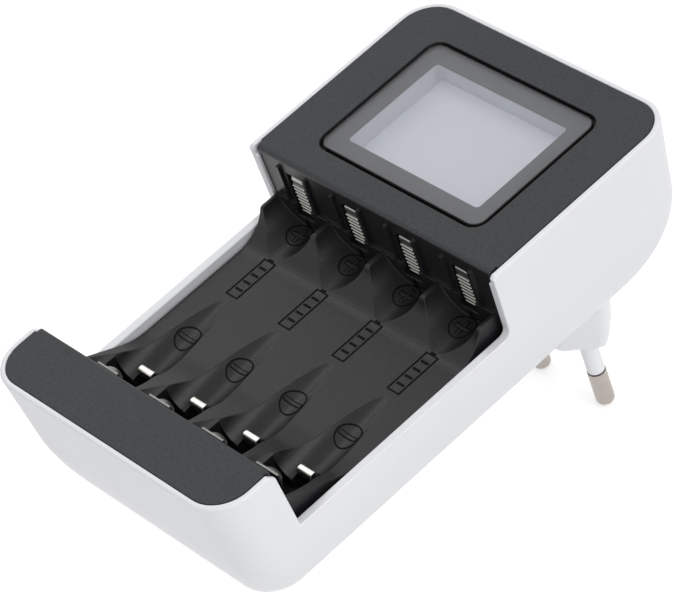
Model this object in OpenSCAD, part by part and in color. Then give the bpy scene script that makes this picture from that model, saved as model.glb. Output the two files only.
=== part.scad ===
// Plug-in charger for four round cells, with a display above the open battery bay.
// The origin lies midway between the two mains pins on the end face of the plug.
// +Z points out of the wall towards the face, +Y towards the display, X across the cells.

/* [Shell] */
// Side margin from the outer cells' pitch lines to the outside of the shell
side_margin = 3.64; // [3.2:0.05:6]
// Length of the display block, from the bay wall to the display end of the shell
display_len = 49.6; // [47:0.2:58]
// Length of the end cap, from the bay to the low end of the shell
end_cap_len = 14.6; // [12:0.2:20]
// Depth of the shell from its face to the flat back
shell_depth = 38; // [36:0.5:46]
// Distance from the plug's centre line to the display end
plug_to_top = 19; // [17.5:0.25:22]
// Wall thickness of the shell
shell_wall = 2; // [1.8:0.1:2.4]
// Width of the rim that shows around the front cover
rim_w = 1.2; // [1:0.05:1.4]
// Rounding of the rim's outer edge
rim_round = 0.6; // [0.3:0.05:0.9]
// Corner radius of the shell at its face
corner_r = 8.4; // [6:0.2:11]
// Corner radius of the shell at its back
back_corner_r = 7; // [5:0.2:9]
// Draft of the two long walls over the whole depth
side_draft = 1.2; // [0.4:0.1:2]
// Draft of the low end over the whole depth
low_draft = 4; // [2:0.1:5]
// Draft of the display end over the whole depth
top_draft = 4.1; // [2:0.1:5]
// Height of the rounding along the back edges
round_h = 22.5; // [16:0.5:26]
// How far the back rounding runs in from the long sides
side_round = 14.7; // [10:0.1:16]
// How far the back rounding runs in from the low end
low_round = 8.8; // [5:0.1:12]
// How far the back rounding runs in from the display end
top_round = 20.8; // [14:0.1:22]

/* [Cells and bay] */
// Diameter of the larger cell
aa_d = 14.5; // [14:0.1:15]
// Diameter of the smaller cell
aaa_d = 10.5; // [10:0.1:11]
// Free distance between the contacts for the larger cell
aa_gap = 50.2; // [49:0.1:50.4]
// Free distance between the contacts for the smaller cell
aaa_gap = 43.9; // [43:0.1:44.4]
// Distance between neighbouring cells
cell_pitch = 15.58; // [15.4:0.02:17]
// Room from the free spring contact to the end wall
spring_room = 5.7; // [5.4:0.1:8]
// Depth of the larger cell's top below the face
cell_sink = 2.4; // [1.5:0.1:4]
// Clearance around a cell in its trough
cell_clear = 0.35; // [0.2:0.05:0.5]
// Height of the trough's lowest line above the bay floor
trough_lift = 0.15; // [0.1:0.05:0.4]
// Height of the ridges between the troughs above the bay floor
ridge_h = 5.5; // [4:0.1:7]
// Length of the flat ridge tops beside the display wall
ridge_flat = 4.4; // [3:0.1:7]
// Radius of the hollow curve from the ridges down to the bay floor
ridge_hollow = 8.4; // [7:0.1:14]
// Rounding of the ridges' upper edge
ridge_edge_r = 0.8; // [0.4:0.1:1.4]
// Radius of the curve from the bay floor into the slope at the end wall
ridge_sweep = 14; // [8:0.5:20]
// Slope of the ridges up to the end wall, in degrees
sweep_slope = 26.5; // [20:0.5:28]
// Where that slope would meet the bay floor, measured from the end wall
sweep_len = 14.9; // [12:0.1:16]
// Tilt of the small cells' grooves, in degrees
groove_tilt = 7; // [4:0.5:8]
// Distance from the display wall to where the grooves start
groove_start = 23.7; // [18:0.1:26]
// Depth of the pits for the large cells' springs below the bay floor
pit_depth = 4.6; // [3.4:0.1:5.4]
// Height of the step from the side rail down to the gutter beside the bay floor
rail_step = 2.5; // [1.8:0.1:2.8]
// Height of the shell's side rails above the bay floor
rail_rise = 1.5; // [0.8:0.1:2.5]
// Radius where the rail turns up to the display block
rail_turn_r = 1.6; // [0.6:0.1:3]
// Lean of the end cap's side walls over their height
end_lean = 1.2; // [0.6:0.1:1.6]

/* [Front cover] */
// Thickness of the cover's display and end plates
plate_t = 2.2; // [2:0.1:2.6]
// Thickness of the cover's walls and floor
cover_wall = 2; // [1.6:0.1:2.4]
// Fitting gap between the cover and the shell
fit_gap = 0.15; // [0.1:0.05:0.3]
// Rounding of the cover's edge above the display wall
cover_edge_r = 1; // [0.4:0.1:1.8]
// Width of the guide ribs beside each positive contact
guide_w = 0.8; // [0.6:0.1:1.4]
// How far the guide ribs stand out of the display wall
guide_h = 0.6; // [0.4:0.1:1.2]
// Distance of the guide ribs from the middle of the cell
guide_x = 3.9; // [3.5:0.1:4.6]

/* [Display] */
// Width of the display window
window_w = 45; // [38:0.5:48]
// Length of the display window
window_l = 32.9; // [28:0.1:34]
// Distance from the display wall to the window
window_front = 7.1; // [6.8:0.1:9]
// Thickness of the window
window_t = 1.2; // [1:0.1:1.4]
// Visible gap around the window
window_gap = 0.75; // [0.3:0.05:0.9]
// Corner radius of the window
window_r = 2.6; // [1.5:0.1:4]
// Thickness of the foam gasket under the window
gasket_t = 0.3; // [0.2:0.05:0.4]
// Width of the window's printed border
border_w = 4.2; // [3:0.1:6]
// Depth of the display glass below the face
lcd_sink = 5.4; // [4.6:0.1:6]
// Wall of the well that leads from the window down to the display glass
well_wall = 0.8; // [0.6:0.1:1.2]
// Thickness of the glass of the display
lcd_t = 1.8; // [1.4:0.1:2.2]
// How far the display glass reaches past the clear part of the window
lcd_reach = 1.8; // [1:0.1:2.2]
// Thickness of the light guide
guide_t = 2.2; // [1.6:0.1:3]
// Wall of the holder around the display glass
holder_wall = 1.2; // [0.8:0.1:1.6]

/* [Contacts] */
// Thickness of the contact strip
strip_t = 0.4; // [0.3:0.05:0.5]
// Width of the positive contacts
positive_w = 3.4; // [2.6:0.1:4]
// Height of the positive contacts' face
positive_h = 9.6; // [8:0.1:10.4]
// Depth of the positive contacts' tops below the face
positive_top = 4.2; // [3.8:0.1:5]
// Spacing of the fine ribs across a positive contact
rib_pitch = 0.95; // [0.8:0.05:1.3]
// Radius of the fine ribs
rib_r = 0.28; // [0.2:0.02:0.34]
// Width of the spring contacts for the small cells
tab_w = 3.8; // [3:0.1:4.6]
// Length of the folded top of those contacts
tab_fold = 1.8; // [1.4:0.1:2.4]
// Width of the spring contacts for the large cells
bulge_w = 6; // [5:0.1:7]
// How far below the large cells' middle their spring contacts touch
bulge_drop = 3.1; // [0.5:0.1:3.4]
// How far the round dome of those contacts stands out of its leaf
dome_rise = 1.6; // [1.2:0.1:2]
// Clearance around a spring contact in its opening
contact_clear = 0.6; // [0.4:0.1:0.9]

/* [Boards] */
// Thickness of the circuit boards
board_t = 1.6; // [1.2:0.1:2]
// Room between the bay's underside and the main board
board_room = 1.4; // [1:0.1:2.4]
// Gap between the main board and the shell
board_gap = 1.2; // [0.8:0.1:2]

/* [Screws] */
// Distance from the display wall to the upper screws
screw_top = 5.1; // [4.8:0.1:5.4]
// Distance between the upper and lower screws
screw_span = 40.5; // [36:0.5:44]
// Radius of the screw shank
screw_r = 1.5; // [1.2:0.1:1.7]
// Radius of the screw head
screw_head_r = 2.7; // [2.4:0.1:3]
// Height of the screw head
screw_head_h = 1.8; // [1.4:0.1:2.2]
// Depth of the holes for the screw heads
screw_recess = 4.5; // [3:0.1:6]

/* [Plug] */
// Diameter of the mains pins
pin_d = 4; // [3.8:0.1:4.8]
// Distance between the pins
pin_gap = 18.6; // [18:0.1:19.2]
// Length of the pins below the plug's end face
pin_len = 19; // [17:0.5:20]
// Length of the insulating sleeves
sleeve_len = 10; // [8:0.5:11]
// Diameter of the insulating sleeves, a little below the bare metal
sleeve_d = 3.68; // [3.4:0.02:3.7]
// Wall of the insulating sleeves
sleeve_wall = 0.3; // [0.2:0.05:0.5]
// Gap between a sleeve's end and the bare metal
sleeve_gap = 0.35; // [0.2:0.05:0.6]
// Rounding of the pin tips
tip_r = 1.2; // [0.6:0.1:1.6]
// Height of the plug below the shell's back
plug_h = 19.5; // [17.5:0.5:22]
// Length of the plug's end face across the pins
plug_len = 30.2; // [27:0.2:34]
// Width of the plug's end face
plug_w = 12.6; // [11:0.2:14]
// Length of the straight stretch on the plug's long sides
plug_flat = 17; // [13:0.2:20]
// Width of the narrow flats at the plug's two tips
plug_tip = 1.8; // [1:0.1:3]
// How much each tip of the plug flares out towards the shell
plug_flare = 5.7; // [2:0.1:6.4]
// How much each long side of the plug flares out towards the shell
plug_taper = 1.4; // [1:0.1:2]

/* [Hidden] */
$fn = 48;
eps = 0.01;
over = 1;

// Outline of the shell along Y and X
cell_count = 4;
bay_len = aa_gap + spring_room;
shell_hw = cell_count * cell_pitch / 2 + side_margin;
y_top = plug_to_top;
y_wall = y_top - display_len;
y_end = y_wall - bay_len;
y_low = y_end - end_cap_len;
face_z = plug_h + shell_depth;
cell_x = [for (i = [0 : cell_count - 1]) (i - (cell_count - 1) / 2) * cell_pitch];
corner_steps = 7;
round_steps = 8;
wall_foot = shell_depth - round_h;

// Heights below the face
floor_z = -(cell_sink + aa_d);
ridge_z = floor_z + ridge_h;
rail_z = floor_z + rail_rise;
ledge_z = rail_z - rail_step;
trough_r = aa_d / 2 + cell_clear;
trough_z = floor_z + trough_lift + trough_r;
groove_r = aaa_d / 2 + cell_clear;
floor_bottom = floor_z - cover_wall;
tab_swing = 1.6;
tab_y = y_wall - aaa_gap;
groove_end = tab_y - tab_fold - tab_swing;
pit_z = floor_z - pit_depth;
deep_bottom = pit_z - cover_wall;
board_top = deep_bottom - board_room;
board_bottom = board_top - board_t;

// Fits between the shell and the cover
rail_inset = side_draft * -rail_z / shell_depth;
slot_hw = shell_hw - rail_inset - rim_w;
cover_hw = slot_hw - fit_gap;
plate_hw = shell_hw - rim_w - fit_gap;
plate_corner_r = corner_r - rim_w - fit_gap;
ridge_hw = cell_count * cell_pitch / 2 + 0.15;
deep_hw = cell_x[cell_count - 1] + groove_r + 0.75 * cover_wall;
step_set = 0.6;
y_step = y_wall - step_set;
y_end_step = y_end + step_set;

// Display stack, from the face down
window_y = y_wall + window_front + window_l / 2;
pocket_depth = window_t + gasket_t;
view_w = window_w - 2 * border_w;
view_l = window_l - 2 * border_w;
lcd_w = view_w + 2 * lcd_reach;
lcd_l = view_l + 2 * lcd_reach;
lcd_top = -lcd_sink;
guide_top = lcd_top - lcd_t;
display_board_top = guide_top - guide_t;
holder_gap = 0.2;
well_r = 0.5;
well_top = -window_t - 0.1;
holder_w = lcd_w + 2 * (holder_gap + holder_wall);
holder_l = lcd_l + 2 * (holder_gap + holder_wall);
display_post_r = 1.7;
display_post_x = holder_w / 2 + display_post_r + 0.3;
display_post_y = holder_l / 2 - display_post_r;
display_board_w = 2 * (display_post_x + display_post_r);
display_board_l = holder_l + 0.6;
display_screw_r = 0.8;
display_thread_r = display_screw_r - 0.05;
display_screw_l = 2.6;
display_head_r = 1.5;
display_head_h = 1;

// Screws and their bosses
boss_wall = 1.7;
boss_r = screw_head_r + boss_wall;
post_wall = 1.5;
post_r = screw_r + post_wall;
thread_bite = 0.2;
thread_r = screw_r - thread_bite;
pilot_depth = 5;
pilot_spare = 0.4;
slot_l = 3.2;
slot_w = 0.7;
slot_depth = 0.8;
screw_points = [for (sx = [-1, 1], sy = [y_wall + screw_top, y_wall + screw_top - screw_span])
    [sx * cell_pitch, sy]];

// Plug: straight neck inside the shell, flange clamped under the main board
neck_z = -shell_depth - 1;
neck_grow = 1;
flare_steps = 5;
flange_h = 3.6;
flange_out = 2;
neck_clear = 0.15;
collar_wall = 1.6;
collar_top = board_bottom - flange_h;
pin_root_r = pin_d / 2 + 0.6;
pin_tail_r = 0.8;
pin_tail_up = 0.8;
sleeve_root = 2;

// The board keeps clear of the rounded shell at the depth of its underside
board_round = 1 - cos(asin(max(0, -board_bottom - wall_foot) / round_h));
board_part = -board_bottom / shell_depth;
board_hw = shell_hw - shell_wall - side_draft * board_part - side_round * board_round - board_gap;
board_y0 = y_low + shell_wall + low_draft * board_part + low_round * board_round + board_gap;
board_y1 = y_top - shell_wall - top_draft * board_part - top_round * board_round - board_gap;

// Parts on the main board stand under the display, behind the positive contacts
core_w = 16;
core_l = 12;
core_h = 11;
core_y = -7;
core_yoke = 2;
core_window = 4;
coil_reach = 2;
coil_out = core_w / 2 - core_yoke;
coil_in = coil_out - core_window;
capacitor_x = 20;
bulk_r = 4;
bulk_h = 13;
output_r = 3.15;
output_h = 11;
disc_r = 4;
disc_t = 3;
disc_in = 6;
fuse_r = 2;
fuse_l = 9;
fuse_in = 2;
fuse_y = 3;
bridge_w = 6.4;
bridge_l = 5;
bridge_h = 2.6;
bridge_y = 5;
header_in = 3;
header_y = window_y - display_board_l / 2 + header_in;
header_pins = 8;
header_pitch = 2;
header_h = 2.5;
header_pin_r = 0.3;

// Chips lie flat under the bay, in rows counted from the display wall
chip_in = 12;
chip_y = y_wall - chip_in;
chip_w = 8;
chip_l = 10;
chip_h = 1.6;
coupler_x = 13.7;
coupler_w = 4.6;
coupler_l = 6;
coupler_h = 2;
transistor_w = 3;
transistor_h = 1.4;
transistor_in = 12.5;

// Contact positions
contact_sink = 0.1;
contact_y = y_wall + contact_sink;
bulge_y = contact_y - aa_gap;
bulge_z = floor_z + trough_lift + aa_d / 2 - bulge_drop;
spring_lift = 0.25;
spring_base = board_top + spring_lift;
tab_sink = 0.2;
tab_top = floor_z - tab_sink;
root_r = 0.6;
spring_in = 2.2;
spring_y = y_end + spring_in;
bulge_r = 2.6;
spring_swing = 0.6;

function arc(c, r, a0, a1, n) =
    [for (i = [0 : n]) c + r * [cos(a0 + (a1 - a0) * i / n), sin(a0 + (a1 - a0) * i / n)]];

// Rounded outline from y0 to y1 with half width hw
function outline(hw, y0, y1, r, n) = concat(
    arc([hw - r, y1 - r], r, 0, 90, n), arc([r - hw, y1 - r], r, 90, 180, n),
    arc([r - hw, y0 + r], r, 180, 270, n), arc([hw - r, y0 + r], r, 270, 360, n));

function unit(v) = v / norm(v);
function tangent(p, i) = unit(p[min(i + 1, len(p) - 1)] - p[max(i - 1, 0)]);
function side(p, i, d) = p[i] + d * [-tangent(p, i)[1], tangent(p, i)[0]];

// Outline of a bent strip of thickness t along the path p
function strip(p, t) = concat([for (i = [0 : len(p) - 1]) side(p, i, t / 2)],
    [for (i = [len(p) - 1 : -1 : 0]) side(p, i, -t / 2)]);

module at_face() {
    translate([0, 0, face_z]) children();
}

// Extrudes a profile drawn in Y and Z across the body
module across(w) {
    rotate([90, 0, 90]) translate([0, 0, -w / 2]) linear_extrude(w) children();
}

module slab(hw, y0, y1, r, z0, z1) {
    translate([0, 0, z0]) linear_extrude(z1 - z0) polygon(outline(hw, y0, y1, r, corner_steps));
}

module block(x, y, z) {
    translate([x[0], y[0], z[0]]) cube([x[1] - x[0], y[1] - y[0], z[1] - z[0]]);
}

module post(x, y, z0, z1, r) {
    translate([x, y, z0]) cylinder(r = r, h = z1 - z0);
}

// One level of the boat-shaped shell: depth s, rounding share c, inset from the outside
module shell_level(s, c, inset, lift) {
    part = s / shell_depth;
    slab(shell_hw - inset - side_draft * part - side_round * c,
        y_low + inset + low_draft * part + low_round * c,
        y_top - inset - top_draft * part - top_round * c,
        corner_r + (back_corner_r - corner_r) * part - inset, lift - s, lift - s + eps);
}

// The boat shape, moved in by inset on every side
module shell_form(inset) {
    hull() {
        if (inset == 0) {
            for (a = [0, 30, 60, 90])
                shell_level(rim_round * (1 - cos(a)), 0, rim_round * (1 - sin(a)), -eps);
        } else {
            shell_level(-over, 0, inset, 0);
        }
        for (i = [0 : round_steps]) {
            a = 90 * i / round_steps;
            shell_level(min(wall_foot + round_h * sin(a), shell_depth - inset), 1 - cos(a), inset, 0);
        }
    }
}

// Space that the open bay takes out of the shell above its side rails
module bay_notch() {
    lip = 1.4;
    across(2 * shell_hw + 2 * over)
        polygon(concat(
            arc([y_step - rail_turn_r, rail_z + rail_turn_r], rail_turn_r, -90, 0, 5),
            [[y_step, -rim_round], [y_step + rim_round, over], [y_end_step - end_lean - lip, over]],
            arc([y_end_step - end_lean - lip, -lip], lip, 90, 10, 4),
            [[y_end_step, rail_z]]));
}

// Six-sided outline of the plug, grown along and across the row of pins
module plug_outline(along, side) {
    hx = plug_len / 2 + along;
    hy = plug_w / 2 + side;
    fx = plug_flat / 2 + along / 2;
    tip = plug_tip / 2 + side / 2;
    polygon([[fx, hy], [hx, tip], [hx, -tip], [fx, -hy], [-fx, -hy], [-hx, -tip], [-hx, tip], [-fx, hy]]);
}

// Outline of the neck that passes through the shell's back
module neck_outline(grow) {
    plug_outline(neck_grow + grow, neck_grow + grow);
}

// The part of the plug that shows: flared from the end face up to the shell's back
module plug_form() {
    difference() {
        union() {
            hull()
                for (i = [0 : flare_steps]) {
                    part = sin(90 * i / flare_steps);
                    translate([0, 0, -face_z + plug_h * i / flare_steps]) linear_extrude(eps)
                        plug_outline(plug_flare * part, plug_taper * part);
                }
            translate([0, 0, -shell_depth]) linear_extrude(collar_top + shell_depth)
                plug_outline(plug_flare, plug_taper);
        }
        translate([0, 0, -fit_gap]) shell_form(0);
    }
}

module back_shell() {
    color("whitesmoke") at_face() difference() {
        union() {
            difference() {
                shell_form(0);
                shell_form(shell_wall);
            }
            intersection() {
                shell_form(shell_wall / 2);
                union() {
                    for (p = screw_points) post(p[0], p[1], -shell_depth, board_bottom, boss_r);
                    translate([0, 0, -shell_depth]) linear_extrude(collar_top + shell_depth)
                        neck_outline(neck_clear + collar_wall);
                }
            }
        }
        bay_notch();
        slab(shell_hw - rim_w, y_low + rim_w, y_top - rim_w, corner_r - rim_w, -plate_t, over);
        block([-slot_hw, slot_hw], [y_end - cover_wall - fit_gap, y_wall + cover_wall + fit_gap],
            [floor_bottom, over]);
        for (p = screw_points) {
            post(p[0], p[1], -shell_depth - over, board_bottom + over, screw_r + 0.2);
            post(p[0], p[1], -shell_depth - over, -shell_depth + screw_recess, screw_head_r + 0.4);
        }
        translate([0, 0, -shell_depth - over]) linear_extrude(collar_top + shell_depth + 2 * over)
            neck_outline(neck_clear);
    }
}

// Section of the cover along Y: display plate, wall, ridge line, floor, end wall and end plate
module cover_section() {
    edge_y = y_wall - ridge_flat;
    both_r = ridge_hollow + ridge_edge_r;
    hollow_y = edge_y - sqrt(ridge_h * (2 * both_r - ridge_h));
    meet = asin((both_r - ridge_h) / both_r);
    hollow_steps = 12;
    hollow_step = (90 - meet) / hollow_steps;
    sweep_y = y_end + sweep_len + ridge_sweep * tan(sweep_slope / 2);
    wall_in = y_wall + cover_wall;
    end_in = y_end - cover_wall;
    polygon(concat(
        [[wall_in + over, 0]],
        arc([y_wall + cover_edge_r, -cover_edge_r], cover_edge_r, 90, 180, 4),
        [[y_wall, ridge_z]],
        arc([edge_y, ridge_z - ridge_edge_r], ridge_edge_r, 90, 180 - meet, 4),
        arc([hollow_y, floor_z + ridge_hollow], ridge_hollow, -meet - hollow_step, -90, hollow_steps - 1),
        arc([sweep_y, floor_z + ridge_sweep], ridge_sweep, -90, -90 - sweep_slope, 8),
        [[y_end, floor_z + sweep_len * tan(sweep_slope)]],
        arc([y_end - 2 * step_set, -step_set], step_set, 0, 90, 3),
        [[end_in - over, 0], [end_in - over, -plate_t], [end_in, -plate_t], [end_in, floor_bottom],
            [wall_in, floor_bottom], [wall_in, -plate_t], [wall_in + over, -plate_t]]));
}

// Deeper part of the floor under the grooves and the spring pits
module deep_section() {
    polygon([[y_wall - groove_start, floor_bottom], [y_wall - groove_start, floor_bottom + eps],
        [y_end - cover_wall, floor_bottom + eps], [y_end - cover_wall, deep_bottom],
        [groove_end + cover_wall, deep_bottom]]);
}

module small_cell_groove(x) {
    translate([x, y_wall - groove_start, floor_z]) rotate([groove_tilt, 0, 0])
        translate([0, over, groove_r]) rotate([90, 0, 0])
            cylinder(r = groove_r, h = y_wall - groove_start - groove_end + over);
}

module front_cover() {
    color("dimgray") at_face() difference() {
        union() {
            across(2 * cover_hw) cover_section();
            across(2 * deep_hw) deep_section();
            intersection() {
                slab(plate_hw, y_low + rim_w + fit_gap, y_top - rim_w - fit_gap, plate_corner_r, -plate_t, 0);
                union() {
                    block([-plate_hw, plate_hw], [y_wall + cover_wall, y_top], [-plate_t, 0]);
                    block([-plate_hw, plate_hw], [y_low, y_end - cover_wall], [-plate_t, 0]);
                }
            }
            for (x = cell_x, s = [-1, 1])
                block([x + s * guide_x - guide_w / 2, x + s * guide_x + guide_w / 2],
                    [y_wall - guide_h, y_wall + eps], [trough_z - trough_r / 2, -cell_sink]);
            for (p = screw_points)
                post(p[0], p[1], board_top, p[1] > y_wall ? -plate_t + eps : floor_bottom + over, post_r);
            for (sx = [-1, 1], sy = [-1, 1])
                post(sx * display_post_x, window_y + sy * display_post_y, display_board_top, -plate_t + eps,
                    display_post_r);
        }
        for (x = cell_x) {
            translate([x, y_wall - guide_h, trough_z]) rotate([90, 0, 0])
                cylinder(r = trough_r, h = bay_len - guide_h);
            small_cell_groove(x);
            block([x - tab_w / 2 - contact_clear, x + tab_w / 2 + contact_clear],
                [groove_end - over, tab_y + contact_clear], [deep_bottom - over, trough_z]);
            block([x - groove_r, x + groove_r], [y_end, groove_end], [pit_z, trough_z]);
            block([x - bulge_w / 2 - contact_clear, x + bulge_w / 2 + contact_clear],
                [spring_y - spring_swing - contact_clear, spring_y + contact_clear],
                [deep_bottom - over, trough_z]);
            block([x - positive_w / 2 - contact_clear, x + positive_w / 2 + contact_clear],
                [y_wall - over, y_wall + cover_wall + over],
                [-positive_top - positive_h - contact_clear, -positive_top + contact_clear]);
        }
        for (s = [-1, 1])
            block(s > 0 ? [ridge_hw, cover_hw + over] : [-cover_hw - over, -ridge_hw], [y_end, y_wall],
                [ledge_z, over]);
        slab(window_w / 2 + window_gap, window_y - window_l / 2 - window_gap,
            window_y + window_l / 2 + window_gap, window_r + window_gap, -pocket_depth, over);
        well(well_wall + holder_gap, -plate_t - over, over);
        for (p = screw_points) post(p[0], p[1], board_top - over, board_top + pilot_depth, thread_r);
        for (sx = [-1, 1], sy = [-1, 1])
            post(sx * display_post_x, window_y + sy * display_post_y, display_board_top - over,
                -plate_t - 0.2, display_screw_r);
    }
}

// The clear view through the window, grown by a margin
module well(margin, z0, z1) {
    slab(view_w / 2 + margin, window_y - view_l / 2 - margin, window_y + view_l / 2 + margin,
        well_r + margin, z0, z1);
}

module display_window() {
    color("gray") at_face()
        slab(window_w / 2, window_y - window_l / 2, window_y + window_l / 2, window_r, -window_t, 0);
}

module window_gasket() {
    color("black") at_face() difference() {
        slab(window_w / 2, window_y - window_l / 2, window_y + window_l / 2, window_r,
            -pocket_depth, -window_t);
        well(well_wall + holder_gap, -pocket_depth - over, over);
    }
}

module lcd_panel() {
    color("lightsteelblue") at_face()
        block([-lcd_w / 2, lcd_w / 2], [window_y - lcd_l / 2, window_y + lcd_l / 2], [guide_top, lcd_top]);
}

module light_guide() {
    color("white") at_face()
        block([-lcd_w / 2, lcd_w / 2], [window_y - lcd_l / 2, window_y + lcd_l / 2],
            [display_board_top, guide_top]);
}

// Frame that holds the display glass, with a light-coloured well up to the window
module lcd_holder() {
    color("white") at_face() difference() {
        union() {
            block([-holder_w / 2, holder_w / 2], [window_y - holder_l / 2, window_y + holder_l / 2],
                [display_board_top, -plate_t]);
            well(well_wall, lcd_top, well_top);
        }
        block([-lcd_w / 2 - holder_gap, lcd_w / 2 + holder_gap],
            [window_y - lcd_l / 2 - holder_gap, window_y + lcd_l / 2 + holder_gap],
            [display_board_top - over, lcd_top]);
        well(0, lcd_top - over, over);
    }
}

module display_board() {
    color("darkgreen") at_face() difference() {
        block([-display_board_w / 2, display_board_w / 2],
            [window_y - display_board_l / 2, window_y + display_board_l / 2],
            [display_board_top - board_t, display_board_top]);
        for (sx = [-1, 1], sy = [-1, 1])
            post(sx * display_post_x, window_y + sy * display_post_y, display_board_top - board_t - over,
                display_board_top + over, display_screw_r + 0.2);
    }
}

module display_screws() {
    color("silver") at_face()
        for (sx = [-1, 1], sy = [-1, 1])
            translate([sx * display_post_x, window_y + sy * display_post_y, display_board_top - board_t]) {
                cylinder(r = display_thread_r, h = board_t + display_screw_l);
                translate([0, 0, -display_head_h]) cylinder(r = display_head_r, h = display_head_h);
            }
}

module board_header() {
    color("dimgray") at_face() {
        block([-header_pins * header_pitch / 2, header_pins * header_pitch / 2],
            [header_y - header_pitch / 2, header_y + header_pitch / 2],
            [board_top, board_top + header_h]);
        for (i = [0 : header_pins - 1])
            post((i - (header_pins - 1) / 2) * header_pitch, header_y, board_top + header_h - eps,
                display_board_top - board_t, header_pin_r);
    }
}

module main_board() {
    color("darkgreen") at_face() difference() {
        slab(board_hw, board_y0, board_y1, back_corner_r, board_bottom, board_top);
        for (p = screw_points) post(p[0], p[1], board_bottom - over, board_top + over, screw_r + 0.2);
        for (s = [-1, 1]) post(s * pin_gap / 2, 0, board_bottom - over, board_top + over, pin_tail_r + 0.1);
    }
}

module transformer_core() {
    color("darkslategray") at_face() difference() {
        block([-core_w / 2, core_w / 2], [core_y - core_l / 2, core_y + core_l / 2],
            [board_top, board_top + core_h]);
        for (s = [-1, 1])
            block(s > 0 ? [coil_in, coil_out] : [-coil_out, -coil_in], [core_y - core_l, core_y + core_l],
                [board_top + core_yoke, board_top + core_h - core_yoke]);
    }
}

// Winding around the core's middle leg
module transformer_coil() {
    color("gold") at_face() difference() {
        block([-coil_out, coil_out], [core_y - core_l / 2 - coil_reach, core_y + core_l / 2 + coil_reach],
            [board_top + core_yoke, board_top + core_h - core_yoke]);
        block([-coil_in, coil_in], [core_y - core_l / 2, core_y + core_l / 2],
            [board_top, board_top + core_h]);
    }
}

module bulk_capacitor() {
    color("black") at_face() post(-capacitor_x, core_y, board_top, board_top + bulk_h, bulk_r);
}

module output_capacitor() {
    color("darkblue") at_face() post(capacitor_x, core_y, board_top, board_top + output_h, output_r);
}

module safety_capacitor() {
    color("steelblue") at_face() translate([capacitor_x, board_y1 - disc_in, board_top + disc_r])
        rotate([90, 0, 0]) cylinder(r = disc_r, h = disc_t);
}

module line_fuse() {
    color("peru") at_face() translate([fuse_in - capacitor_x - fuse_l / 2, fuse_y, board_top + fuse_r])
        rotate([0, 90, 0]) cylinder(r = fuse_r, h = fuse_l);
}

// A flat part on the main board, centred on x and y
module chip(x, y, w, l, h) {
    block([x - w / 2, x + w / 2], [y - l / 2, y + l / 2], [board_top, board_top + h]);
}

module bridge_rectifier() {
    color("black") at_face() chip(0, bridge_y, bridge_w, bridge_l, bridge_h);
}

module optocoupler() {
    color("black") at_face() chip(-coupler_x, chip_y, coupler_w, coupler_l, coupler_h);
}

module controller_chip() {
    color("black") at_face() chip(0, chip_y, chip_w, chip_l, chip_h);
}

module charge_transistors() {
    color("black") at_face()
        for (x = cell_x) chip(x, chip_y - transistor_in, transistor_w, transistor_w, transistor_h);
}

// Folded strip: ribbed face in the wall's slot, bend at the top, leg down to the board
module positive_contact(i) {
    back_y = y_wall + cover_wall + 0.4 + strip_t / 2;
    face_y = contact_y + rib_r + strip_t / 2;
    bend_r = (back_y - face_y) / 2;
    top_z = -positive_top - strip_t / 2;
    bottom_z = -positive_top - positive_h;
    path = concat([[face_y, bottom_z]],
        arc([face_y + bend_r, top_z - bend_r], bend_r, 180, 0, 8), [[back_y, board_top]]);
    ribs = floor((positive_h - bend_r - 2 * rib_r) / rib_pitch);
    color("silver") at_face() translate([cell_x[i], 0, 0]) {
        across(positive_w) polygon(strip(path, strip_t));
        for (k = [0 : ribs - 1])
            translate([-positive_w / 2, contact_y + rib_r, bottom_z + rib_r + k * rib_pitch])
                rotate([0, 90, 0]) cylinder(r = rib_r, h = positive_w);
    }
}

// Root of a spring contact: a rolled edge that the leaf turns about
module spring_root(y, w) {
    translate([-w / 2, y, spring_base + root_r]) rotate([0, 90, 0]) cylinder(r = root_r, h = w);
}

// Spring contact of a large cell: a leaf with a pressed round dome that touches the cell
module aa_spring_contact(i) {
    leaf_y = bulge_y - dome_rise - strip_t / 2;
    dome_foot = bulge_r - dome_rise - strip_t / 2;
    path = [[spring_y, spring_base + root_r], [spring_y, pit_z + over], [leaf_y, bulge_z - bulge_r],
        [leaf_y, bulge_z + bulge_r]];
    color("silver") at_face() translate([cell_x[i], 0, 0]) {
        across(bulge_w) polygon(strip(path, strip_t));
        translate([0, bulge_y - bulge_r, bulge_z]) rotate([-90, 0, 0]) rotate_extrude()
            polygon(concat([[0, dome_foot]], arc([0, 0], bulge_r, asin(dome_foot / bulge_r), 90, 6)));
        spring_root(spring_y, bulge_w);
    }
}

module aaa_spring_contact(i) {
    leaf_y = tab_y - strip_t / 2;
    fold_r = 0.5;
    rear_y = tab_y - tab_fold + strip_t / 2;
    fold_z = tab_top - strip_t / 2 - fold_r;
    path = concat([[leaf_y, spring_base + root_r]],
        arc([leaf_y - fold_r, fold_z], fold_r, 0, 90, 4),
        arc([rear_y + fold_r, fold_z], fold_r, 90, 180, 4), [[rear_y, fold_z - 1.4]]);
    color("silver") at_face() translate([cell_x[i], 0, 0]) {
        across(tab_w) polygon(strip(path, strip_t));
        spring_root(leaf_y, tab_w);
    }
}

module plug_body() {
    color("whitesmoke") at_face() difference() {
        union() {
            plug_form();
            translate([0, 0, neck_z - eps]) linear_extrude(board_bottom - neck_z + eps) neck_outline(0);
            translate([0, 0, collar_top]) linear_extrude(flange_h) neck_outline(flange_out);
        }
        for (s = [-1, 1]) {
            post(s * pin_gap / 2, 0, -face_z - over, neck_z, pin_d / 2);
            post(s * pin_gap / 2, 0, neck_z - eps, board_bottom + over, pin_root_r);
        }
    }
}

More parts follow.
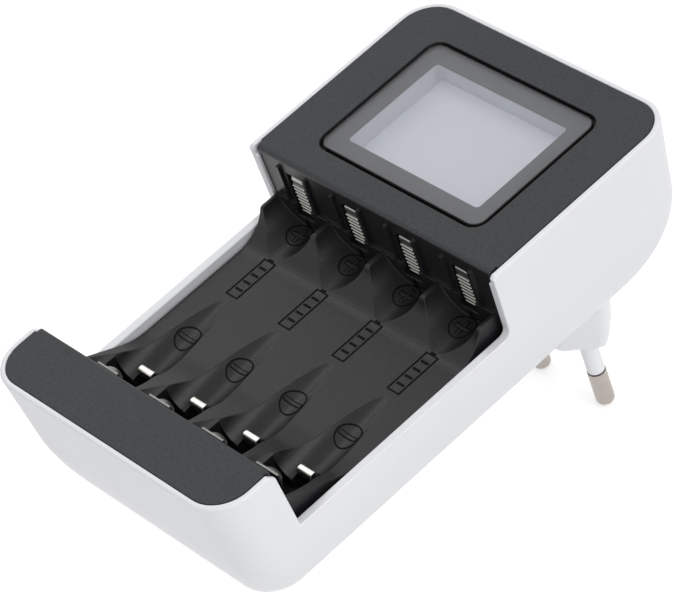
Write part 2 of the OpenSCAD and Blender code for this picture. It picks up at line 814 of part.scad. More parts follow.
// Turned pin: rounded tip, waist under the sleeve, thicker root in the plug, tail through the board
module mains_pin(s) {
    r = pin_d / 2;
    waist = sleeve_d / 2 - sleeve_wall;
    bare = -sleeve_len;
    root = plug_h - 1;
    inner = face_z + board_bottom;
    tail = face_z + board_top + pin_tail_up;
    color("silver") translate([s * pin_gap / 2, 0, 0]) rotate_extrude()
        polygon(concat([[0, -pin_len]], arc([r - tip_r, tip_r - pin_len], tip_r, -90, 0, 5),
            [[r, bare], [waist, bare], [waist, sleeve_root], [r, sleeve_root], [r, root], [pin_root_r, root],
                [pin_root_r, inner], [pin_tail_r, inner], [pin_tail_r, tail], [0, tail]]));
}

module pin_sleeve(s) {
    r = sleeve_d / 2;
    end = sleeve_gap - sleeve_len;
    h = sleeve_root - end;
    color("white") translate([s * pin_gap / 2, 0, end]) difference() {
        cylinder(r = r, h = h);
        translate([0, 0, -over]) cylinder(r = r - sleeve_wall, h = h + 2 * over);
    }
}

module housing_screws() {
    head_z = -shell_depth + screw_recess;
    color("silver") at_face()
        for (p = screw_points) {
            post(p[0], p[1], head_z - eps, board_top + pilot_depth - pilot_spare, thread_r);
            difference() {
                post(p[0], p[1], head_z - screw_head_h, head_z, screw_head_r);
                for (a = [0, 90])
                    translate([p[0], p[1], head_z - screw_head_h]) rotate(a)
                        cube([slot_l, slot_w, 2 * slot_depth], center = true);
            }
        }
}

back_shell();
front_cover();
display_window();
window_gasket();
lcd_panel();
light_guide();
lcd_holder();
display_board();
display_screws();
board_header();
main_board();
transformer_core();
transformer_coil();
bulk_capacitor();
output_capacitor();
safety_capacitor();
line_fuse();
bridge_rectifier();
optocoupler();
controller_chip();
charge_transistors();
positive_contact(0);  // positive_contact_1
positive_contact(1);  // positive_contact_2
positive_contact(2);  // positive_contact_3
positive_contact(3);  // positive_contact_4
aa_spring_contact(0);  // aa_spring_contact_1
aa_spring_contact(1);  // aa_spring_contact_2
aa_spring_contact(2);  // aa_spring_contact_3
aa_spring_contact(3);  // aa_spring_contact_4
aaa_spring_contact(0);  // aaa_spring_contact_1
aaa_spring_contact(1);  // aaa_spring_contact_2
aaa_spring_contact(2);  // aaa_spring_contact_3
aaa_spring_contact(3);  // aaa_spring_contact_4
plug_body();
mains_pin(-1);  // mains_pin_left
mains_pin(1);  // mains_pin_right
pin_sleeve(-1);  // pin_sleeve_left
pin_sleeve(1);  // pin_sleeve_right
housing_screws();
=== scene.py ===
import math

import bmesh
import bpy
from mathutils import Matrix, Vector
from mathutils.bvhtree import BVHTree


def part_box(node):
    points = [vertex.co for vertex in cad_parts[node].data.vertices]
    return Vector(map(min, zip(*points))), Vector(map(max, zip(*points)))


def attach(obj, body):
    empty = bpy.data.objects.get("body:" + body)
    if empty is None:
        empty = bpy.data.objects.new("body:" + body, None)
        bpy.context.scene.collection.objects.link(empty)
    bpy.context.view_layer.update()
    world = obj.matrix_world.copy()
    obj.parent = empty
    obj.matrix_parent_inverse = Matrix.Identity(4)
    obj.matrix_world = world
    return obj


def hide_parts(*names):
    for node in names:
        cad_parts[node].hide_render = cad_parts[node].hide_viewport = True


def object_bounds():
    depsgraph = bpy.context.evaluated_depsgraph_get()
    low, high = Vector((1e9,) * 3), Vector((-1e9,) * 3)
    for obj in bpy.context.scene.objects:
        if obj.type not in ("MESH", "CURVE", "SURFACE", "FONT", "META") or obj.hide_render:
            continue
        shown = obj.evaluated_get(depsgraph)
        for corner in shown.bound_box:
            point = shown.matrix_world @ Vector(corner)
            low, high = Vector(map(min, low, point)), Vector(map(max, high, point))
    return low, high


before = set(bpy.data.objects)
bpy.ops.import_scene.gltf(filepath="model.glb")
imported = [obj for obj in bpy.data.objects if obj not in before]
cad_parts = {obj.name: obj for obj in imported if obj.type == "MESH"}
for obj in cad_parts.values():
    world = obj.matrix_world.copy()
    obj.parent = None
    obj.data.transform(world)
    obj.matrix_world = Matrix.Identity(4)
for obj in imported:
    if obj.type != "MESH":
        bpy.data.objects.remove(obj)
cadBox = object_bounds()
scene = bpy.context.scene
scene.view_settings.view_transform = "Standard"
mm = 0.001
print("frame loaded with", len(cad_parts), "nodes")


def linear(hexColour):
    # sRGB hex to the linear values that the sockets take
    shares = [int(hexColour[i:i + 2], 16) / 255 for i in (1, 3, 5)]
    return [c / 12.92 if c <= 0.04045 else ((c + 0.055) / 1.055) ** 2.4 for c in shares] + [1.0]


def setSockets(tree, node, sockets):
    # a socket's value is either a number or another node's output
    for name, value in sockets.items():
        if isinstance(value, bpy.types.NodeSocket):
            tree.links.new(value, node.inputs[name])
        else:
            node.inputs[name].default_value = value


def addNode(tree, kind, settings=None, sockets=None):
    node = tree.nodes.new(kind)
    for name, value in (settings or {}).items():
        setattr(node, name, value)
    setSockets(tree, node, sockets or {})
    return node


def newMaterial(name):
    # a new material with its node tree, its shader and its object coordinates
    material = bpy.data.materials.new(name)
    material.use_nodes = True
    tree = material.node_tree
    place = addNode(tree, "ShaderNodeTexCoord").outputs["Object"]
    return material, tree, tree.nodes["Principled BSDF"], place


def perMm(size):
    # pattern scale for a feature of this size in millimetres
    return 1 / (size * mm)


mouldGrain = {"Detail": 3.0, "Roughness": 0.6}
drawnStreak = {"Detail": 2.0}
bumpShare = 0.25    # depth of a bump as a share of its size


def addNoise(tree, place, size, sockets=None):
    return addNode(tree, "ShaderNodeTexNoise", None,
                   {"Vector": place, "Scale": perMm(size), **(sockets or {})}).outputs[0]


def addTint(tree, share, colour, shade):
    return addNode(tree, "ShaderNodeMix", {"data_type": "RGBA"}, {0: share, 6: colour, 7: shade}).outputs[2]


def addMix(tree, share, first, second):
    return addNode(tree, "ShaderNodeMix", None, {0: share, 2: first, 3: second}).outputs[0]


def addMath(tree, operation, first, second):
    return addNode(tree, "ShaderNodeMath", {"operation": operation}, {0: first, 1: second}).outputs[0]


def spreadOver(tree, value, low, high):
    # 0 to 1 becomes low to high
    return addNode(tree, "ShaderNodeMapRange", None,
                   {"Value": value, "To Min": low, "To Max": high}).outputs[0]


def shareBetween(tree, value, low, high):
    # low to high becomes 0 to 1
    return addNode(tree, "ShaderNodeMapRange", None,
                   {"Value": value, "From Min": low, "From Max": high}).outputs[0]


def addBump(tree, height, strength, size, sockets=None):
    return addNode(tree, "ShaderNodeBump", None,
                   {"Height": height, "Strength": strength, "Distance": size * mm * bumpShare,
                    **(sockets or {})}).outputs[0]


def mouldedPlastic(name, s):
    # injection-moulded plastic: slow flow shading in the colour, fine eroded grain from the mould
    s = {"specular": 0.5, **s}
    material, tree, shader, place = newMaterial(name)
    flow = addNoise(tree, place, s["flowMm"])
    grain = addNoise(tree, place, s["grainMm"], mouldGrain)
    setSockets(tree, shader, {
        "Base Color": addTint(tree, flow, linear(s["colour"]), linear(s["shade"])),
        "Roughness": spreadOver(tree, grain, s["roughness"] - s["spread"], s["roughness"] + s["spread"]),
        "Normal": addBump(tree, grain, s["bump"], s["grainMm"]),
        "IOR": s["ior"],
        "Specular IOR Level": s["specular"]})
    return material


def platedMetal(name, s):
    # thin plating over worked metal: streaks drawn out along the working direction, softly uneven gloss
    material, tree, shader, place = newMaterial(name)
    drawn = addNode(tree, "ShaderNodeMapping", None, {"Vector": place, "Scale": s["streaks"]}).outputs[0]
    streak = addNoise(tree, drawn, s["streakMm"], drawnStreak)
    setSockets(tree, shader, {
        "Base Color": addTint(tree, streak, linear(s["colour"]), linear(s["shade"])),
        "Roughness": spreadOver(tree, streak, s["roughness"] - s["spread"], s["roughness"] + s["spread"]),
        "Normal": addBump(tree, streak, s["bump"], s["streakMm"]),
        "Metallic": 1.0})
    return material


# satin white ABS: even and cool white, a little gloss, mould grain only felt in the highlights
whiteAbs = mouldedPlastic("whiteAbs", {
    "colour": "#eaebee", "shade": "#e4e5e9", "flowMm": 25, "grainMm": 0.3,
    "roughness": 0.36, "spread": 0.06, "bump": 0.05, "ior": 1.53})

# flame-proof polycarbonate of the plug: whiter and smoother than the shell
plugPolycarbonate = mouldedPlastic("plugPolycarbonate", {
    "colour": "#f5f6f8", "shade": "#f0f1f4", "flowMm": 15, "grainMm": 0.3,
    "roughness": 0.3, "spread": 0.05, "bump": 0.04, "ior": 1.58})

# nylon of the display frame: cool pale grey, softer and duller than the shell
whiteNylon = mouldedPlastic("whiteNylon", {
    "colour": "#d8dae1", "shade": "#d2d4db", "flowMm": 10, "grainMm": 0.25,
    "roughness": 0.5, "spread": 0.05, "bump": 0.05, "ior": 1.52})

# nylon moulded round the pins: bright white and dull, with a faint grain
sleeveNylon = mouldedPlastic("sleeveNylon", {
    "colour": "#f7f8fa", "shade": "#f0f1f4", "flowMm": 4, "grainMm": 0.3,
    "roughness": 0.48, "spread": 0.06, "bump": 0.08, "ior": 1.52})

# black nylon of the small plug strip between the boards: dull and even
blackNylon = mouldedPlastic("blackNylon", {
    "colour": "#1d1e20", "shade": "#17181a", "flowMm": 6, "grainMm": 0.25,
    "roughness": 0.5, "spread": 0.06, "bump": 0.08, "ior": 1.52})

# rolled nickel-plated strip: neutral mid grey, with fine streaks along the strip
nickelStrip = platedMetal("nickelStrip", {
    "colour": "#afaeaa", "shade": "#989792", "streaks": (6.0, 1.0, 1.0), "streakMm": 0.6,
    "roughness": 0.3, "spread": 0.08, "bump": 0.08})

# the small cells' springs: the same plated strip painted brighter, a painted highlight for the light their
# flat tops catch; the brightest metal on the charger
nickelPaintedHighlight = platedMetal("nickelPaintedHighlight", {
    "colour": "#f2efe8", "shade": "#dedad1", "streaks": (6.0, 1.0, 1.0), "streakMm": 0.6,
    "roughness": 0.26, "spread": 0.06, "bump": 0.08})

# the large cells' springs are plated spring steel, more satin, with streaks across the leaf; their darker
# colour is painted shade for the pit they sit in
springSteelPaintedShade = platedMetal("springSteelPaintedShade", {
    "colour": "#8e8e8b", "shade": "#7c7c79", "streaks": (1.0, 1.0, 5.0), "streakMm": 0.6,
    "roughness": 0.4, "spread": 0.08, "bump": 0.08})

# turned brass pins with nickel plating: warm grey, rings of the cutting tool around the pin
nickelBrass = platedMetal("nickelBrass", {
    "colour": "#bab3ae", "shade": "#a8a09a", "streaks": (1.0, 1.0, 14.0), "streakMm": 2.0,
    "roughness": 0.3, "spread": 0.06, "bump": 0.06})

# zinc-plated steel screws: cool grey, slightly cloudy
zincSteel = platedMetal("zincSteel", {
    "colour": "#c2c5c8", "shade": "#a9adb2", "streaks": (1.0, 1.0, 1.0), "streakMm": 0.8,
    "roughness": 0.35, "spread": 0.1, "bump": 0.08})
print("shared plastics and metals made")


def nodeBox(node):
    # lowest and highest corner of a CAD node in millimetres
    low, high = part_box(node)
    return low / mm, high / mm


def toObject(name, bm):
    mesh = bpy.data.meshes.new(name)
    bm.to_mesh(mesh)
    bm.free()
    piece = bpy.data.objects.new(name, mesh)
    scene.collection.objects.link(piece)
    return piece


def carved(bm, cutter):
    # exact boolean difference of two closed meshes
    body = toObject("carvedBody", bm)
    tool = toObject("carvingTool", cutter)
    step = body.modifiers.new("carve", "BOOLEAN")
    step.operation = "DIFFERENCE"
    step.solver = "EXACT"
    step.object = tool
    made = bmesh.new()
    made.from_object(body, bpy.context.evaluated_depsgraph_get())
    for used in (body, tool):
        mesh = used.data
        bpy.data.objects.remove(used)
        bpy.data.meshes.remove(mesh)
    return made


def finishPiece(name, bm, materials, replaced=(), body="housing", smoothDegrees=32):
    # pieces are modelled in millimetres and brought to metres here
    bmesh.ops.scale(bm, vec=(mm, mm, mm), verts=bm.verts)
    piece = toObject(name, bm)
    piece.data.polygons.foreach_set("use_smooth", [True] * len(piece.data.polygons))
    piece.data.set_sharp_from_angle(angle=math.radians(smoothDegrees))
    shading = piece.modifiers.new("flatFacesFirst", "WEIGHTED_NORMAL")
    shading.keep_sharp = True
    for material in materials:
        piece.data.materials.append(material)
    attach(piece, body)
    if replaced:
        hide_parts(*replaced)
    print("piece made:", name, len(piece.data.polygons), "faces")


def quarterTurn(i, steps):
    return math.radians(90 * i / steps)


def vertsOf(geom):
    return [v for v in geom if isinstance(v, bmesh.types.BMVert)]


def extrudeLoop(bm, edges):
    # extrudes a loop of edges without moving it; gives the new loop's edges and verts
    made = bmesh.ops.extrude_edge_only(bm, edges=edges)["geom"]
    verts = vertsOf(made)
    among = set(verts)
    return [e for e in made if isinstance(e, bmesh.types.BMEdge) and among.issuperset(e.verts)], verts


def rounded(bm, geom, affect, offset, segments, clamp=False):
    bmesh.ops.bevel(bm, geom=geom, offset=offset, offset_type="OFFSET", affect=affect, segments=segments,
                    profile=0.5, material=-1, clamp_overlap=clamp)


def closeLoop(bm, edges):
    bmesh.ops.edgeloop_fill(bm, edges=edges)
    bmesh.ops.recalc_face_normals(bm, faces=bm.faces)


def cornerCentre(ring, sideX, sideY):
    y = ring["top"] - ring["radius"] if sideY > 0 else ring["low"] + ring["radius"]
    return Vector((sideX * (ring["halfWidth"] - ring["radius"]), y, ring["z"]))


def loftRings(rings, segments):
    # rounded rectangles stacked into one closed skin, extruded ring by ring
    sides = ((1, 1), (-1, 1), (-1, -1), (1, -1))
    bm = bmesh.new()
    first = rings[0]
    corners = [bm.verts.new((sx * first["halfWidth"], first["top"] if sy > 0 else first["low"], first["z"]))
               for sx, sy in sides]
    bm.faces.new(corners)
    rounded(bm, corners, "VERTICES", first["radius"], segments)
    edges = bm.edges[:]
    for before, after in zip(rings, rings[1:]):
        edges, verts = extrudeLoop(bm, edges)
        middle = (before["top"] + before["low"]) / 2
        growth = after["radius"] / before["radius"]
        for sx, sy in sides:
            group = [v for v in verts if v.co.x * sx > 0 and (v.co.y - middle) * sy > 0]
            centre = cornerCentre(before, sx, sy)
            bmesh.ops.scale(bm, vec=(growth, growth, 1), space=Matrix.Translation(-centre), verts=group)
            for v in group:
                v.co.z = before["z"]
            bmesh.ops.translate(bm, vec=cornerCentre(after, sx, sy) - centre, verts=group)
    closeLoop(bm, edges)
    return bm


def prism(points, halfLength, firstRadius, segments):
    # profile drawn in Y and Z with its first corner rounded, extruded along X
    bm = bmesh.new()
    verts = [bm.verts.new((-halfLength, y, z)) for y, z in points]
    bm.faces.new(verts)
    rounded(bm, verts[:1], "VERTICES", firstRadius, segments)
    made = bmesh.ops.extrude_face_region(bm, geom=bm.faces[:])["geom"]
    bmesh.ops.translate(bm, vec=(2 * halfLength, 0, 0), verts=vertsOf(made))
    return bm


def roundSharp(bm, degrees, offset, segments):
    sharp = [e for e in bm.edges if len(e.link_faces) == 2 and e.calc_face_angle() > math.radians(degrees)]
    rounded(bm, sharp, "EDGES", offset, segments)


shellLow, shellHigh = nodeBox("back_shell")
shell = {
    "rimWidth": 1.2, "rimRound": 0.6, "rimSteps": 4, "cornerRadius": 8.4, "backCornerRadius": 7.0,
    "sideDraft": 1.2, "lowDraft": 4.0, "topDraft": 4.1,
    "roundHeight": 22.5, "sideRound": 14.7, "lowRound": 8.8, "topRound": 20.8, "roundSteps": 14,
    "wall": 2.0, "plate": 2.2, "cornerSegments": 14,
    "wallY": -31.2, "endY": -85.9, "endLean": 1.2, "lip": 1.4,
    "railDepth": 15.4, "railTurn": 1.6, "turnSegments": 6, "cutMargin": 2.0, "weld": 1e-4,
    "edge": 0.3, "edgeDegrees": 50, "edgeSegments": 3,
    "screwX": 15.58, "screwY": (-25.5, -66.0), "screwHole": 3.1, "screwSegments": 40, "screwSeat": 4.5,
    "screwBore": 1.7, "bossWall": 1.3, "bossRoot": 1.0}


def shellRing(s, depth, share, inset):
    part = depth / s["depth"]
    return {"halfWidth": s["halfWidth"] - inset - s["sideDraft"] * part - s["sideRound"] * share,
            "low": s["low"] + inset + s["lowDraft"] * part + s["lowRound"] * share,
            "top": s["top"] - inset - s["topDraft"] * part - s["topRound"] * share,
            "radius": s["cornerRadius"] + (s["backCornerRadius"] - s["cornerRadius"]) * part - inset,
            "z": s["face"] - depth}


def shellSkin(s):
    # from the inside of the back up to the rim, over it, and down the outside
    foot = s["depth"] - s["roundHeight"]
    turns = [quarterTurn(i, s["roundSteps"]) for i in range(s["roundSteps"] + 1)]
    rings = [shellRing(s, min(foot + s["roundHeight"] * math.sin(a), s["depth"] - s["wall"]),
                       1 - math.cos(a), s["wall"]) for a in reversed(turns[1:])]
    rings.append(shellRing(s, s["plate"], 0, s["wall"]))
    rings.append(shellRing(s, s["plate"], 0, s["rimWidth"]))
    rings.append(shellRing(s, 0, 0, s["rimWidth"]))
    for i in range(s["rimSteps"] + 1):
        a = quarterTurn(i, s["rimSteps"])
        rings.append(shellRing(s, s["rimRound"] * (1 - math.cos(a)), 0, s["rimRound"] * (1 - math.sin(a))))
    rings += [shellRing(s, foot + s["roundHeight"] * math.sin(a), 1 - math.cos(a), 0) for a in turns[1:]]
    return loftRings(rings, s["cornerSegments"])


def makeShell(s):
    s["halfWidth"] = shellHigh.x
    s["low"], s["top"] = shellLow.y, shellHigh.y
    s["face"], s["depth"] = shellHigh.z, shellHigh.z - shellLow.z
    back = shellLow.z
    screws = [(sx * s["screwX"], y) for sx in (-1, 1) for y in s["screwY"]]

    # the open bay between the display wall and the end wall, and the screw wells in the back
    rail = s["face"] - s["railDepth"]
    above = s["face"] + s["cutMargin"]
    endTop = s["endY"] - s["endLean"]
    profile = [(s["wallY"], rail), (s["wallY"], s["face"] - s["rimRound"]),
               (s["wallY"] + s["rimRound"], s["face"]), (s["wallY"] + s["rimRound"], above),
               (endTop - s["lip"], above), (endTop - s["lip"], s["face"]),
               (endTop, s["face"] - s["lip"]), (s["endY"], rail)]
    cutter = prism(profile, s["halfWidth"] + s["cutMargin"], s["railTurn"], s["turnSegments"])
    for x, y in screws:
        bmesh.ops.create_cone(cutter, cap_ends=True, segments=s["screwSegments"], radius1=s["screwHole"],
                              radius2=s["screwHole"], depth=2 * s["wall"] + s["cutMargin"],
                              matrix=Matrix.Translation((x, y, back)))
    bmesh.ops.recalc_face_normals(cutter, faces=cutter.faces)
    bm = carved(shellSkin(s), cutter)
    bmesh.ops.remove_doubles(bm, verts=bm.verts, dist=s["weld"])
    roundSharp(bm, s["edgeDegrees"], s["edge"], s["edgeSegments"])

    # a turned boss around each screw, with a seat for its head
    outer = s["screwHole"] + s["bossWall"]
    root = back + s["bossRoot"]
    seat = back + s["screwSeat"]
    top = seat + s["bossWall"]
    section = ((outer, root), (outer, top), (s["screwBore"], top), (s["screwBore"], seat),
               (s["screwHole"], seat), (s["screwHole"], root))
    for x, y in screws:
        start = [bm.verts.new((x + r, y, z)) for r, z in section]
        loop = [bm.edges.new((a, b)) for a, b in zip(start, start[1:] + start[:1])]
        bmesh.ops.spin(bm, geom=start + loop, cent=(x, y, 0), axis=(0, 0, 1), angle=math.tau,
                       steps=s["screwSegments"], use_merge=True)
        bmesh.ops.recalc_face_normals(bm, faces=list({f for v in start for f in v.link_faces}))
    return bm


finishPiece("backShell", makeShell(shell), [whiteAbs], ["back_shell"])

# textured black ABS: the show face keeps a matte mould grain, the bay walls come smoother off the tool; the
# recessed bay is painted darker than the face as painted shade;
# the real grain is about 0.1 mm, and is drawn coarser so that it shows
coverSettings = {"bay": "#202022", "bayShade": "#121214", "face": "#3a3c3f", "faceShade": "#27292c",
                 "speckle": 0.75, "pitFrom": 0.3, "pitTo": 0.7, "flowMm": 18, "grainMm": 0.45,
                 "faceRoughness": 0.5, "bayRoughness": 0.34, "spread": 0.1, "faceBump": 0.5, "bayBump": 0.2,
                 "edgeMm": 0.3, "edgeSamples": 8, "ior": 1.53, "specular": 0.3, "textureDepth": 0.4}


def makeBlackAbs(s):
    material, tree, shader, place = newMaterial("blackAbs")
    faceHeight = nodeBox("front_cover")[1].z
    height = addNode(tree, "ShaderNodeSeparateXYZ", None, {"Vector": place}).outputs["Z"]
    onFace = shareBetween(tree, height, (faceHeight - 2 * s["textureDepth"]) * mm,
                          (faceHeight - s["textureDepth"]) * mm)
    flow = addNoise(tree, place, s["flowMm"])
    grain = addNoise(tree, place, s["grainMm"], mouldGrain)
    pits = shareBetween(tree, grain, s["pitFrom"], s["pitTo"])
    shading = addMix(tree, s["speckle"], flow, pits)
    # the bay's colours are darker than the face's: painted shade in the recessed bay
    shadedBayTint, faceTint = [addTint(tree, shading, linear(s[area]), linear(s[area + "Shade"]))
                         for area in ("bay", "face")]
    dull = spreadOver(tree, onFace, s["bayRoughness"], s["faceRoughness"])
    uneven = spreadOver(tree, grain, -s["spread"], s["spread"])
    strength = spreadOver(tree, onFace, s["bayBump"], s["faceBump"])
    edge = addNode(tree, "ShaderNodeBevel", {"samples": s["edgeSamples"]},
                   {"Radius": s["edgeMm"] * mm}).outputs[0]
    setSockets(tree, shader, {
        "Base Color": addTint(tree, onFace, shadedBayTint, faceTint),
        "Roughness": addMath(tree, "ADD", dull, uneven),
        "Normal": addBump(tree, grain, strength, s["grainMm"], {"Normal": edge}),
        "IOR": s["ior"],
        "Specular IOR Level": s["specular"]})
    return material


blackAbs = makeBlackAbs(coverSettings)
print("cover material made")

windowLow, windowHigh = nodeBox("display_window")
# the near-black of the window's cut edge is painted shadow
window = {"border": 4.2, "radius": 2.6, "viewRadius": 0.9, "cornerSegments": 8, "edge": 0.2, "edgeSteps": 3,
          "lift": 0.05, "tolerance": 0.01, "print": "#7d7e82", "printShade": "#797a7e", "tone": "#121214",
          "toneShade": "#0e0e10", "printRoughness": 0.5, "clear": "#fcfdfe", "clearRoughness": 0.02,
          "ior": 1.49, "flowMm": 30}


# flat-coloured acrylic: used for the back print and for the cut edge painted black as painted shadow
def paintedAcrylic(name, s, tone):
    material, tree, shader, place = newMaterial(name)
    flow = addNoise(tree, place, s["flowMm"])
    setSockets(tree, shader, {
        "Base Color": addTint(tree, flow, linear(s[tone]), linear(s[tone + "Shade"])),
        "Roughness": s["printRoughness"],
        "IOR": s["ior"]})
    return material


def makeClearAcrylic(s):
    material, tree, shader, place = newMaterial("clearAcrylic")
    flow = addNoise(tree, place, s["flowMm"])
    setSockets(tree, shader, {
        "Base Color": linear(s["clear"]),
        "Roughness": spreadOver(tree, flow, s["clearRoughness"], 2 * s["clearRoughness"]),
        "Transmission Weight": 1.0,
        "IOR": s["ior"]})
    return material


# back-printed acrylic: a soft grey border on the underside, seen through the clear face
printedAcrylic = paintedAcrylic("printedAcrylic", window, "print")

# glossy clear acrylic: shows the display, and mirrors the room faintly
clearAcrylic = makeClearAcrylic(window)

# the cut edge is painted black as painted shadow: a dark line all round the window
shadowEdgeAcrylic = paintedAcrylic("paintedAcrylic", window, "tone")


def windowRing(inset, z, radius):
    return {"halfWidth": windowHigh.x - inset, "low": windowLow.y + inset, "top": windowHigh.y - inset,
            "radius": radius, "z": z}


def makeWindow(s):
    # the underside stays just clear of the foam strip below
    under = windowLow.z + s["lift"]
    rings = [windowRing(s["border"], under, s["viewRadius"]), windowRing(0, under, s["radius"])]
    for i in range(s["edgeSteps"] + 1):
        a = quarterTurn(i, s["edgeSteps"])
        inset = s["edge"] * (1 - math.cos(a))
        rings.append(windowRing(inset, windowHigh.z - s["edge"] * (1 - math.sin(a)), s["radius"] - inset))
    bm = loftRings(rings, s["cornerSegments"])
    reach = windowHigh.x - s["border"] + s["tolerance"]
    printed, clear, edged = range(3)
    for f in bm.faces:
        isFace = all(v.co.z > windowHigh.z - s["tolerance"] for v in f.verts)
        isView = all(abs(v.co.x) < reach for v in f.verts)
        isUnder = all(v.co.z < under + s["tolerance"] for v in f.verts)
        # the sides and the rounded edge take the painted shadow
        f.material_index = clear if isFace or isView else printed if isUnder else edged
    return bm


finishPiece("displayWindow", makeWindow(window), [printedAcrylic, clearAcrylic, shadowEdgeAcrylic],
            ["display_window"])

plugLow = nodeBox("plug_body")[0]
plug = {"length": 30.2, "width": 12.6, "flat": 17.0, "tip": 0.9, "flare": 5.7, "taper": 1.4, "height": 19.5,
        "levels": 8, "column": 6.5, "cornerRadius": 1.4, "endRadius": 1.2, "roundSegments": 5, "pinX": 9.3,
        "pinHole": 2.1, "holeDepth": 2.0, "holeSegments": 32, "tolerance": 1e-6}


def makePlug(s):
    # six-sided plug with softened edges, flared from the end face up to the shell
    bm = bmesh.new()
    halfL, halfW, halfF = s["length"] / 2, s["width"] / 2, s["flat"] / 2
    outline = [(halfF, halfW), (-halfF, halfW), (-halfL, s["tip"]), (-halfL, -s["tip"]), (-halfF, -halfW),
               (halfF, -halfW), (halfL, -s["tip"]), (halfL, s["tip"])]
    verts = [bm.verts.new((x, y, plugLow.z)) for x, y in outline]
    bm.faces.new(verts)
    rounded(bm, verts, "VERTICES", s["cornerRadius"], s["roundSegments"], clamp=True)
    edges = bm.edges[:]
    before = 0.0
    # the last step is the straight column inside the shell
    for i in range(1, s["levels"] + 2):
        share = math.sin(quarterTurn(min(i, s["levels"]), s["levels"]))
        rise = s["height"] / s["levels"] if i <= s["levels"] else s["column"]
        edges, verts = extrudeLoop(bm, edges)
        growth = ((halfL + s["flare"] * share) / (halfL + s["flare"] * before),
                  (halfW + s["taper"] * share) / (halfW + s["taper"] * before), 1)
        bmesh.ops.scale(bm, vec=growth, verts=verts)
        bmesh.ops.translate(bm, vec=(0, 0, rise), verts=verts)
        before = share
    closeLoop(bm, edges)
    end = [e for e in bm.edges if all(abs(v.co.z - plugLow.z) < s["tolerance"] for v in e.verts)]
    rounded(bm, end, "EDGES", s["endRadius"], s["roundSegments"])
    holes = bmesh.new()
    for sx in (-1, 1):
        bmesh.ops.create_cone(holes, cap_ends=True, segments=s["holeSegments"], radius1=s["pinHole"],
                              radius2=s["pinHole"], depth=2 * s["holeDepth"],
                              matrix=Matrix.Translation((sx * s["pinX"], 0, plugLow.z)))
    return carved(bm, holes)


finishPiece("plugBody", makePlug(plug), [plugPolycarbonate], ["plug_body"])

# the fine outlines of the marks are the same black plastic, painted near-black with a weak sheen: painted
# shade for the shadow along the raised lines
paintedShadeAbs = mouldedPlastic("outlinePaintedShadeAbs", {
    "colour": "#0b0c0d", "shade": "#090a0b", "flowMm": 8, "grainMm": 0.2,
    "roughness": 0.6, "spread": 0.05, "bump": 0.04, "ior": 1.53, "specular": 0.08})

marks = {"cellX": (-23.37, -7.79, 7.79, 23.37), "plusY": -34.0, "minusY": -64.8, "ring": 2.85,
         "ringSegments": 56, "line": 0.28, "bar": 0.7, "plusHalf": 1.75, "minusHalf": 2.2, "shadeRim": 0.2,
         "rise": 0.1, "shadeRimRise": 0.04, "sink": 0.25, "dropFrom": 10, "cuts": 7,
         "frameY": (-52.8, -42.1), "frameWidth": 3.4, "nub": (1.3, 0.45),
         "chargeBars": 4, "chargeBar": (1.9, 0.5)}


def keepOutline(bm, faces, line):
    bmesh.ops.inset_region(bm, faces=faces, thickness=line, use_boundary=True, use_even_offset=True)
    bmesh.ops.delete(bm, geom=faces, context="FACES_ONLY")


def addPlate(bm, s, x, y, width, length, line=0):
    # flat rectangle that can follow the cover's curves; with a line width it is only a frame
    made = bmesh.ops.create_grid(bm, x_segments=1, y_segments=1, size=0.5)["verts"]
    bmesh.ops.scale(bm, vec=(width, length, 1), verts=made)
    bmesh.ops.translate(bm, vec=(x, y, 0), verts=made)
    if line:
        keepOutline(bm, made[0].link_faces[:], line)
    around = {e for v in made for f in v.link_faces for e in f.edges}
    bmesh.ops.subdivide_edges(bm, edges=list(around), cuts=s["cuts"], use_grid_fill=True)


def addRing(bm, s, x, y):
    made = bmesh.ops.create_circle(bm, cap_ends=True, segments=s["ringSegments"], radius=s["ring"],
                                   matrix=Matrix.Translation((x, y, 0)))["verts"]
    keepOutline(bm, made[0].link_faces[:], s["line"])


def signs(s, grow):
    # the minus and plus signs of every cell, grown on all sides
    bm = bmesh.new()
    wide = s["bar"] + 2 * grow
    arm = s["plusHalf"] - s["bar"] / 2
    for x in s["cellX"]:
        addPlate(bm, s, x, s["minusY"], 2 * (s["minusHalf"] + grow), wide)
        addPlate(bm, s, x, s["plusY"], 2 * (s["plusHalf"] + grow), wide)
        for side in (-1, 1):
            addPlate(bm, s, x, s["plusY"] + side * (wide + arm) / 2, wide, arm)
    return bm


def outlines(s):
    # the rings around the signs, and a battery outline with its charge bars for every cell
    bm = bmesh.new()
    low, high = s["frameY"]
    step = (high - low) / (s["chargeBars"] + 1)
    for x in s["cellX"]:
        addRing(bm, s, x, s["plusY"])
        addRing(bm, s, x, s["minusY"])
        addPlate(bm, s, x, (low + high) / 2, s["frameWidth"], high - low, s["line"])
        addPlate(bm, s, x, high + s["nub"][1] / 2, *s["nub"])
        for i in range(s["chargeBars"]):
            addPlate(bm, s, x, low + step * (i + 1), *s["chargeBar"])
    return bm


def layOnCover(bm, s, rise):
    # every point of a flat drawing drops onto the cover, then the drawing gets its thickness
    cover = BVHTree.FromObject(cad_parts["front_cover"], bpy.context.evaluated_depsgraph_get())
    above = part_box("front_cover")[1].z + s["dropFrom"] * mm
    for v in bm.verts:
        hit = cover.ray_cast(Vector((v.co.x * mm, v.co.y * mm, above)), Vector((0, 0, -1)))[0]
        v.co.z = hit.z / mm - s["sink"]
    made = bmesh.ops.extrude_face_region(bm, geom=bm.faces[:])["geom"]
    bmesh.ops.translate(bm, vec=(0, 0, rise + s["sink"]), verts=vertsOf(made))
    bmesh.ops.recalc_face_normals(bm, faces=bm.faces)
    return bm


